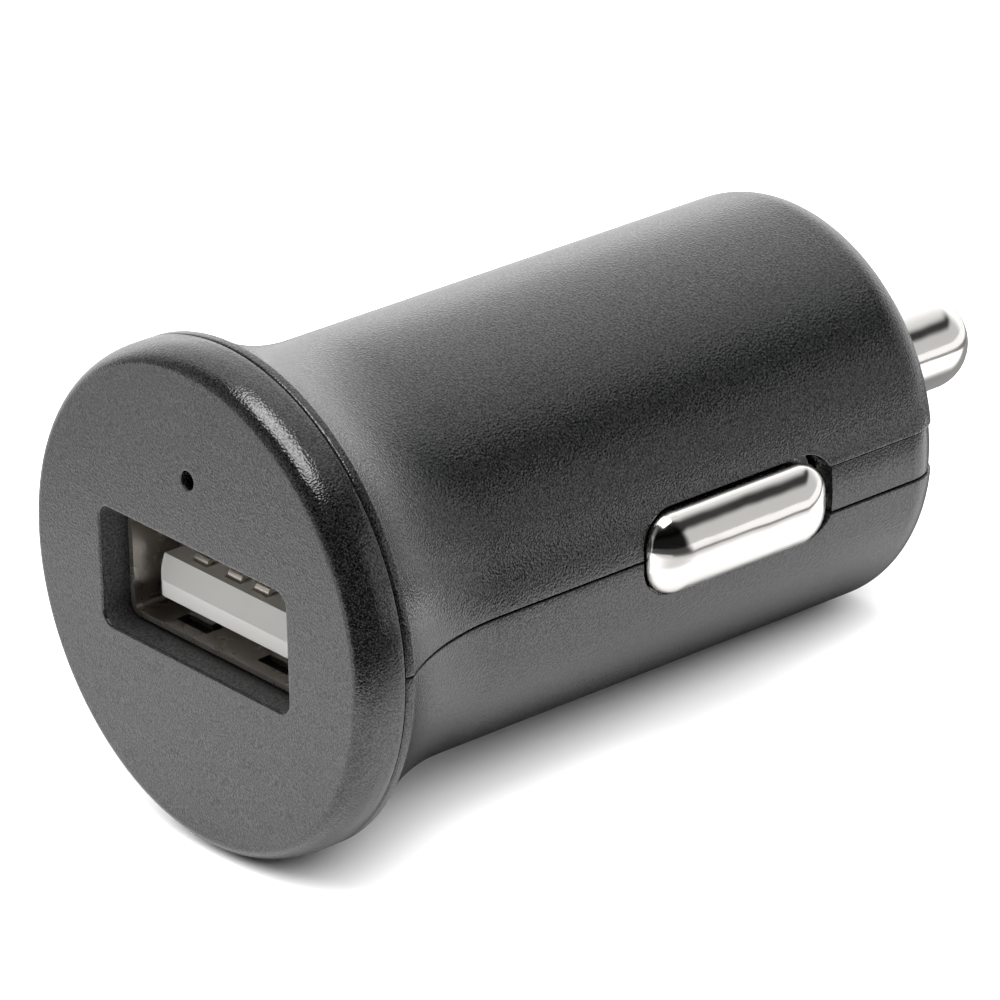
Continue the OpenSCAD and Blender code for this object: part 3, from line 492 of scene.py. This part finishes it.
def housing_edge():
    """Rows along the parting edge, front to rear: radius and depth on the skin, height of the edge over
    the parting plane, and the row's depth at the top. Along the barrel, but for the rows left at both of
    its ends, the depth at the top grows with the length of the edge."""
    lip = np.array([
        (front_in, 2.45), (11.2, 2.45), (12.25, 2.45), (12.32, 2.467), (12.37, 2.51), (12.39, 2.56),
        (front_r, 2.6), (front_r, 2.9), (12.39, 2.92), (12.375, 2.935),
    ])
    a = np.linspace(np.arcsin((flare_end - flare_start) / flare_r), 0, 26)
    front = np.concatenate([
        edge_run(lip[:, 0], lip[:, 1], half_gap),
        edge_run(barrel_r + flare_r * (1 - np.cos(a)), flare_end - flare_r * np.sin(a), half_gap),
    ])
    plain = edge_run(barrel_r, np.linspace(flare_end, slot_start, 24)[1:], half_gap)
    mid_z = slot_half - slot_corner
    slot_front = edge_run(barrel_r, slot_start, np.array([0.15, 0.25, mid_z]))
    a = np.linspace(0, np.pi / 2, 15)[1:]
    up = edge_run(barrel_r, slot_start + slot_corner * (1 - np.cos(a)), mid_z + slot_corner * np.sin(a))
    along = np.linspace(slot_start + slot_corner, slot_end - slot_corner, 22)[1:]
    along = edge_run(barrel_r, along, slot_half)
    a = np.linspace(np.pi / 2, np.arcsin((arm_half - mid_z) / slot_corner), 11)[1:]
    down = edge_run(barrel_r, slot_end - slot_corner * (1 - np.cos(a)), mid_z + slot_corner * np.sin(a))
    rear = edge_run(barrel_r, np.linspace(down[-1, 1], barrel_end - end_round, 14)[1:], arm_half)
    a = np.linspace(0, np.pi / 2, 25)[1:]
    turn_in, turn_back = end_round * (1 - np.cos(a)), end_round * (1 - np.sin(a))
    turn = edge_run(barrel_r - turn_in, barrel_end - turn_back, arm_half)
    end = edge_run(np.array([7.4, 6.8, 6.2, 5.6, seat_r]), barrel_end, arm_half)
    rows = np.concatenate([front, plain, slot_front, up, along, down, rear, turn, end])
    left_front, left_rear = 14, 4
    first, stop = len(front) + left_front, len(rows) - len(turn) - len(end) - left_rear
    run = np.concatenate([[0], np.cumsum(np.linalg.norm(np.diff(rows[first:stop], axis=0), axis=1))])
    top = rows[:, 1].copy()
    top[first:stop] = rows[first, 1] + (rows[stop - 1, 1] - rows[first, 1]) * run / run[-1]
    return np.column_stack([rows, top])


def housing_half(side):
    """One half: its skin is a lathe whose angle starts where the edge's height says, its lining is a
    second lathe inside, and rounded strips along both edges and plain ones at both ends join them."""
    radius, depth, height, top = housing_edge().T
    slope = np.gradient(np.stack([depth, height], -1), axis=0)
    slope[(radius < barrel_r - 1) | (depth < front_end)] = [1, 0]
    normal = np.stack([-slope[:, 1], slope[:, 0]], -1)
    normal /= np.linalg.norm(normal, axis=1, keepdims=True)
    fine_share, fine_steps, half_steps, pull_share = 0.12, 16, 56, 0.22
    share = np.concatenate([
        np.linspace(0, fine_share, fine_steps), np.linspace(fine_share, 0.5, half_steps)[1:],
    ])
    share = np.concatenate([share, 1 - share[-2::-1]])
    pull = np.clip(np.minimum(share, 1 - share) / pull_share, 0, 1)
    pull = pull * pull * (3 - 2 * pull)

    def lathe(r, y, z_edge, y_top):
        """Points at radius r: the angle runs from the edge on the right over the top to the left one,
        and the depth goes from the edge's to the top's by a smooth step."""
        start = np.arcsin(np.clip(z_edge / r, -1, 1))[:, None]
        angle = start + share[None, :] * (np.pi - 2 * start)
        deep = y[:, None] + pull[None, :] * (y_top - y)[:, None]
        return np.stack([r[:, None] * np.cos(angle), deep, r[:, None] * np.sin(angle)], -1)

    skin = lathe(radius, depth + normal[:, 0] * part_edge, height + normal[:, 1] * part_edge, top)
    inner_r = np.where(depth < skirt_room_end, skirt_room_r, cavity_r)
    inner_r = np.where(radius < cavity_r, radius, inner_r)
    lining = lathe(inner_r, np.minimum(depth, cavity_end), height, np.minimum(top, cavity_end))
    patches = []
    for end, flip in ((0, 1), (-1, -1)):
        rows = []
        for a in np.linspace(0, np.pi / 2, 5):
            y = depth + normal[:, 0] * part_edge * (1 - np.cos(a))
            z = height + normal[:, 1] * part_edge * (1 - np.cos(a))
            r = radius - part_edge * (1 - np.sin(a))
            rows.append(np.stack([flip * np.sqrt(r * r - z * z), y, z], -1))
        inner = lining[:, end]
        patches.append(np.stack([inner, 0.5 * (inner + rows[0])] + rows, axis=1))
    patches += [skin, lining]
    patches += [np.stack([skin[row], lining[row]]) for row in (0, -1)]
    return [(patch * [1, 1, side], grid_faces(*patch.shape[:2])) for patch in patches]


housing_plastic = black_plastic("housing_plastic")
for name, node, side in (("upper_half", "upper_shell", 1), ("lower_half", "lower_shell", -1)):
    half = closed_piece(name, housing_half(side))
    half.data.materials.append(housing_plastic)
    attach(half, "root")
    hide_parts(node)

# Nose carrier
# An inner moulding of plain black plastic. Its arms show as strips behind the side contacts, and
# its ring holds the tip where the two halves end.


def dress(names, material):
    """Puts a material on CAD nodes as they are."""
    for name in names:
        mesh = frame["nodes"][name].data
        mesh.materials.clear()
        mesh.materials.append(material)


dress(["nose_carrier"], black_plastic("carrier_plastic", 0.5))

# Side contacts
# Each is a strip of sheet drawn into a hollow crowned pad, nickel plated and polished. A rim round
# its foot stops it behind the housing's wall.
contact_l, contact_w, contact_start, contact_top = 11.1, 4.1, 18.6, 11.5
contact_corner, crown_r, shoulder_r, sheet = 1.7, 2.5, 0.8, 0.45
flange_low, flange_t, flange_rim = 8.35, 0.4, 0.55


def crown_line(width, crown, shoulder, top, foot):
    """Half a section over the crown: an arc about the crown's centre, one round the shoulder, and a
    straight drop to the foot."""
    side = width / 2 - shoulder
    meet = np.arcsin(side / (crown - shoulder))
    a = np.linspace(0, meet, 22)
    b = np.linspace(meet, np.pi / 2, 12)[1:]
    middle = top - crown
    shoulder_up = np.sqrt((crown - shoulder) ** 2 - side ** 2)
    out = np.concatenate([crown * np.sin(a), side + shoulder * np.sin(b), [width / 2]])
    up = np.concatenate([middle + crown * np.cos(a), middle + shoulder_up + shoulder * np.cos(b), [foot]])
    return np.stack([out, up], -1)


def contact_outline(grow):
    """Outline of the pad in plan, moved out by an even amount, and the point of the pad's ridge that
    each of its points faces."""
    half_l, half_w = contact_l / 2 - contact_corner, contact_w / 2 - contact_corner
    r = contact_corner + grow
    arc = np.linspace(0, np.pi / 2, 21)
    up, over = np.linspace(-half_w, half_w, 9), np.linspace(half_l, -half_l, 61)
    right = np.stack([np.full(len(up), half_l + r), up], -1)
    turn = np.stack([half_l + r * np.cos(arc), half_w + r * np.sin(arc)], -1)[1:-1]
    above = np.stack([over, np.full(len(over), half_w + r)], -1)
    half = np.concatenate([right, turn, above, (turn * [-1, 1])[::-1]])
    line = np.concatenate([half, -half])
    ridge_half = (contact_l - contact_w) / 2
    ridge = np.clip(line[:, 0] * ridge_half / half_l, -ridge_half, ridge_half)
    return line, np.stack([ridge, np.zeros(len(line))], -1)


def pressed_contact(side):
    """The pad: each ring of the plan shrinks towards the ridge, as its height follows the section."""
    line, ridge = contact_outline(0)
    inner_line = contact_outline(-sheet)[0]
    rim = contact_outline(flange_rim)[0]
    inner_w = contact_w - 2 * sheet
    outer = crown_line(contact_w, crown_r, shoulder_r, contact_top, flange_low + flange_t)
    inner = crown_line(inner_w, crown_r - sheet, shoulder_r - sheet, contact_top - sheet, flange_low)[::-1]
    rings = [(ridge + (line - ridge) * out / (contact_w / 2), up) for out, up in outer]
    rings += [(rim, flange_low + flange_t), (rim, flange_low)]
    rings += [(ridge + (inner_line - ridge) * out / (inner_w / 2), up) for out, up in inner]
    grid = np.stack([
        np.column_stack([np.full(len(plan), up), plan[:, 0] + contact_start + contact_l / 2, plan[:, 1]])
        for plan, up in rings
    ])
    return [(grid * [side, 1, 1], grid_faces(*grid.shape[:2], round_columns=True))]


def bright_metal(name, colour, roughness, wear):
    """Polished metal: a flat colour, a roughness that a noise varies by wear, and a face that another
    noise leaves a little wavy, as polishing does."""
    material, nodes, links, out = new_material(name)
    smear = noise_texture(nodes, links, 700, 4)
    waves = noise_texture(nodes, links, 420, 1)
    finished(
        nodes, links, out, Base_Color=(*colour, 1), Metallic=1,
        Roughness=result(nodes, links, "MULTIPLY_ADD", smear, wear, roughness - wear / 2),
        Normal=raised(nodes, links, waves, 0.00004),
    )
    return material


nickel = bright_metal("nickel_plating", (0.88, 0.86, 0.83), 0.12, 0.08)
for name, side in (("left", -1), ("right", 1)):
    pad = closed_piece(f"contact_{name}_skin", pressed_contact(side))
    pad.data.materials.append(nickel)
    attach(pad, f"contact_{name}")
    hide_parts(f"side_contact_{name}")

# Sprung tip
# The centre pole is turned from brass bar and nickel plated: a round nose, a straight shaft, and a
# collar inside that keeps it from coming out.
tip_r, nose = 2.4, 45.67
stub_r, stub_start, collar_r, collar_start, collar_stop, chamfer = 1.9, 32.25, 3.3, 33.85, 35.15, 0.05
a = np.linspace(0, np.pi / 2, 30)
shaft = np.linspace(35.4, 45.3, 20)
tip_line = np.concatenate([
    [[0, stub_start], [stub_r - chamfer, stub_start], [stub_r, stub_start + chamfer], [stub_r, collar_start]],
    [[collar_r - chamfer, collar_start], [collar_r, collar_start + chamfer]],
    [[collar_r, collar_stop - chamfer], [collar_r - chamfer, collar_stop], [tip_r, collar_stop]],
    np.stack([np.full(len(shaft), tip_r), shaft], -1),
    np.stack([tip_r * np.cos(a), nose + tip_r * np.sin(a)], -1),
])
spin = np.linspace(0, 2 * np.pi, 129)[:-1]
tip_radius, tip_depth = tip_line[:, :1], np.repeat(tip_line[:, 1:], len(spin), axis=1)
tip_grid = np.stack([tip_radius * np.cos(spin), tip_depth, tip_radius * np.sin(spin)], -1)
tip = closed_piece("tip_skin", [(tip_grid, grid_faces(*tip_grid.shape[:2], round_columns=True))])
tip.data.materials.append(nickel)
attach(tip, "tip")
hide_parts("tip_contact")

# Charging socket
# A standard socket: a bent steel shell with sprung leaves, a white moulded tongue, and four brass
# pins that lie in its upper face.
dress(["usb_shell"], bright_metal("socket_steel", (0.52, 0.485, 0.44), 0.28, 0.1))
tongue, nodes, links, out = new_material("tongue_plastic")
finished(nodes, links, out, Base_Color=(0.88, 0.87, 0.84, 1), Roughness=0.42)
dress(["usb_insulator"], tongue)
# Each pin's front end is folded down into its slot in the tongue, so that it shows as a small block.
# The sprung front stands higher than the rest, and at the rear the pin turns down and back to its foot.
pin_t, pin_half, fold_r, pin_top = 0.25, 0.5, 0.16, 0.34
fold_end, ramp_start, ramp_l, drop_start, foot_z, foot_end = 3.53, 4.8, 2.1, 15.59, -2.735, 16.95
drop_end = drop_start + 2 * fold_r
turn = np.linspace(0, np.pi / 2, 9)
ramp = np.linspace(0, 1, 15)[:, None]
pin_route = np.concatenate([
    [[fold_end - fold_r, -0.1], [fold_end - fold_r, 0.04]],
    np.stack([fold_end - fold_r * np.cos(turn), pin_top - fold_r + fold_r * np.sin(turn)], -1),
    np.concatenate([ramp_start + ramp_l * ramp, pin_top * (1 - ramp * ramp * (3 - 2 * ramp))], axis=1),
    np.stack([drop_start + fold_r * np.sin(turn), fold_r * np.cos(turn) - fold_r], -1),
    np.stack([drop_end - fold_r * np.cos(turn), foot_z + fold_r - fold_r * np.sin(turn)], -1),
    [[foot_end, foot_z]],
])


def bent_strip(route, thick, half_w, middle):
    """A strip along a route of depth and height: its four long edges are the route moved by half the
    thickness across it and by half the width sideways, and a quad closes each end."""
    along = np.gradient(route, axis=0)
    across = np.stack([-along[:, 1], along[:, 0]], -1)
    across *= thick / 2 / np.linalg.norm(across, axis=1, keepdims=True)
    rows = []
    for shift, wide in ((1, -1), (1, 1), (-1, 1), (-1, -1)):
        edge = route + shift * across
        rows.append(np.column_stack([np.full(len(edge), middle + wide * half_w), edge]))
    sides = np.stack(rows, axis=1)
    caps = np.array([[0, 3, 2, 1], [0, 1, 2, 3]]) + np.array([[0], [4 * (len(route) - 1)]])
    faces = grid_faces(*sides.shape[:2], round_columns=True).reshape(-1, 4)
    return sides, np.concatenate([faces, caps])


pin_metal = bright_metal("pin_plating", (0.92, 0.87, 0.8), 0.3, 0.1)
for count, middle in enumerate((-3.5, -1, 1, 3.5), 1):
    pin = closed_piece(f"pin_{count}_strip", [bent_strip(pin_route, pin_t, pin_half, middle)])
    pin.data.materials.append(pin_metal)
    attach(pin, "root")
    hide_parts(f"usb_pin_{count}")

# Springs and terminal
# Inside the barrel: a wound steel spring behind the tip, a bronze leaf behind each side contact,
# and a brass plate that carries the tip's current to the board.
wire_r, coil_r, turns, coil_start, coil_end = 0.3, 2.6, 5, 27.6, 33.8
angle = np.linspace(0, 2 * np.pi * turns, 40 * turns + 1)[:, None]
depth = np.linspace(coil_start + wire_r, coil_end - wire_r, len(angle))[:, None]
round_wire = np.linspace(0, 2 * np.pi, 9)[:-1]
reach_out = coil_r + wire_r * np.cos(round_wire)
coil = np.stack([
    reach_out * np.cos(angle), depth + wire_r * np.sin(round_wire), reach_out * np.sin(angle),
], -1)
tip_spring = closed_piece("tip_coil", [(coil, grid_faces(*coil.shape[:2], round_columns=True))])
tip_spring.data.materials.append(bright_metal("spring_steel", (0.55, 0.55, 0.53), 0.25, 0.1))
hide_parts("tip_spring")
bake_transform(tip_spring)
# Each leaf bows out from its two feet to the contact, and a tab goes down to the board
leaf_t, leaf_half, leaf_foot, leaf_bow, crest_depth = 0.3, 1.0, 6.5, 4.09, 24.3
leaf_start, foot_end, rise_start, fall_start, leaf_end, rise_l = 16.4, 17.6, 19.2, 26.2, 30.6, 3.2
tab_depth, tab_low, tab_top, tab_w, tab_half_t = 17.0, -2.86, -1.001, 1.2, 0.15
rise = np.linspace(0, 1, 17)
bow = leaf_foot + leaf_bow * rise * rise * (3 - 2 * rise)
leaf_route = np.concatenate([
    [[leaf_start, leaf_foot], [foot_end, leaf_foot]],
    np.stack([rise_start + rise_l * rise, bow], -1),
    [[crest_depth, bow[-1]]],
    np.stack([fall_start + rise_l * rise, bow[::-1]], -1),
    [[leaf_end, leaf_foot]],
])
leaf_points, leaf_faces = bent_strip(leaf_route, leaf_t, leaf_half, 0)
tab_route = np.array([[tab_depth, tab_low], [tab_depth, tab_top]])
tab_points, tab_faces = bent_strip(tab_route, tab_w, tab_half_t, leaf_foot)
bronze = bright_metal("spring_bronze", (0.66, 0.48, 0.26), 0.25, 0.1)
for name, side in (("left", -1), ("right", 1)):
    mirrored = np.array([side, 1, 1])
    leaf_and_tab = [(leaf_points[..., ::-1] * mirrored, leaf_faces), (tab_points * mirrored, tab_faces)]
    leaf = closed_piece(f"leaf_{name}", leaf_and_tab)
    leaf.data.materials.append(bronze)
    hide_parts(f"side_spring_{name}")
    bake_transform(leaf)
dress(["tip_terminal"], bright_metal("brass_sheet", (0.72, 0.55, 0.25), 0.28, 0.1))

# Board and its parts
# A green laminate board lies under the socket, with the parts of a step-down converter soldered to
# it: a coil, two cans, the regulator and its diode, a fuse, and small ceramic chips.


def flat_finish(name, colour, roughness, metallic=0.0):
    """A small part's finish: a fine noise makes its colour up to 15 percent darker or lighter."""
    material, nodes, links, out = new_material(name)
    darker = [0.85 * c for c in colour]
    lighter = [1.15 * c for c in colour]
    tones = two_tones(nodes, links, noise_texture(nodes, links, 2500), darker, lighter)
    finished(nodes, links, out, Base_Color=tones, Roughness=roughness, Metallic=metallic)
    return material


dress(["circuit_board"], flat_finish("board_laminate", (0.02, 0.13, 0.05), 0.35))
dress(["inductor_core"], flat_finish("ferrite", (0.05, 0.05, 0.052), 0.6))
dress(["inductor_winding"], flat_finish("enamelled_copper", (0.45, 0.17, 0.07), 0.3, metallic=0.8))
dress(["input_capacitor", "output_capacitor"], flat_finish("can_sleeve", (0.03, 0.04, 0.09), 0.3))
dress(["regulator_chip", "catch_diode"], flat_finish("chip_epoxy", (0.02, 0.02, 0.021), 0.5))
dress(["chip_fuse"], flat_finish("fuse_ceramic", (0.6, 0.57, 0.5), 0.5))
resistors = ["chip_resistor_1", "chip_resistor_2", "chip_resistor_3"]
dress(resistors, flat_finish("resistor_glaze", (0.03, 0.03, 0.035), 0.3))
dress(["chip_capacitor_1", "chip_capacitor_2"], flat_finish("capacitor_ceramic", (0.42, 0.3, 0.17), 0.45))
tinned = ["regulator_leads", "lamp_leg_left", "lamp_leg_right"]
dress(tinned, bright_metal("tinned_wire", (0.62, 0.62, 0.6), 0.3, 0.1))

# Indicator lamp
# A small lamp of clear resin, cast round its two legs, which go down to the board. It sits behind the
# pinhole, and it is off.
lens, nodes, links, out = new_material("lamp_resin")
finished(nodes, links, out, Base_Color=(0.75, 0.85, 0.9, 1), Roughness=0.1, Transmission_Weight=0.8)
dress(["indicator_lamp"], lens)
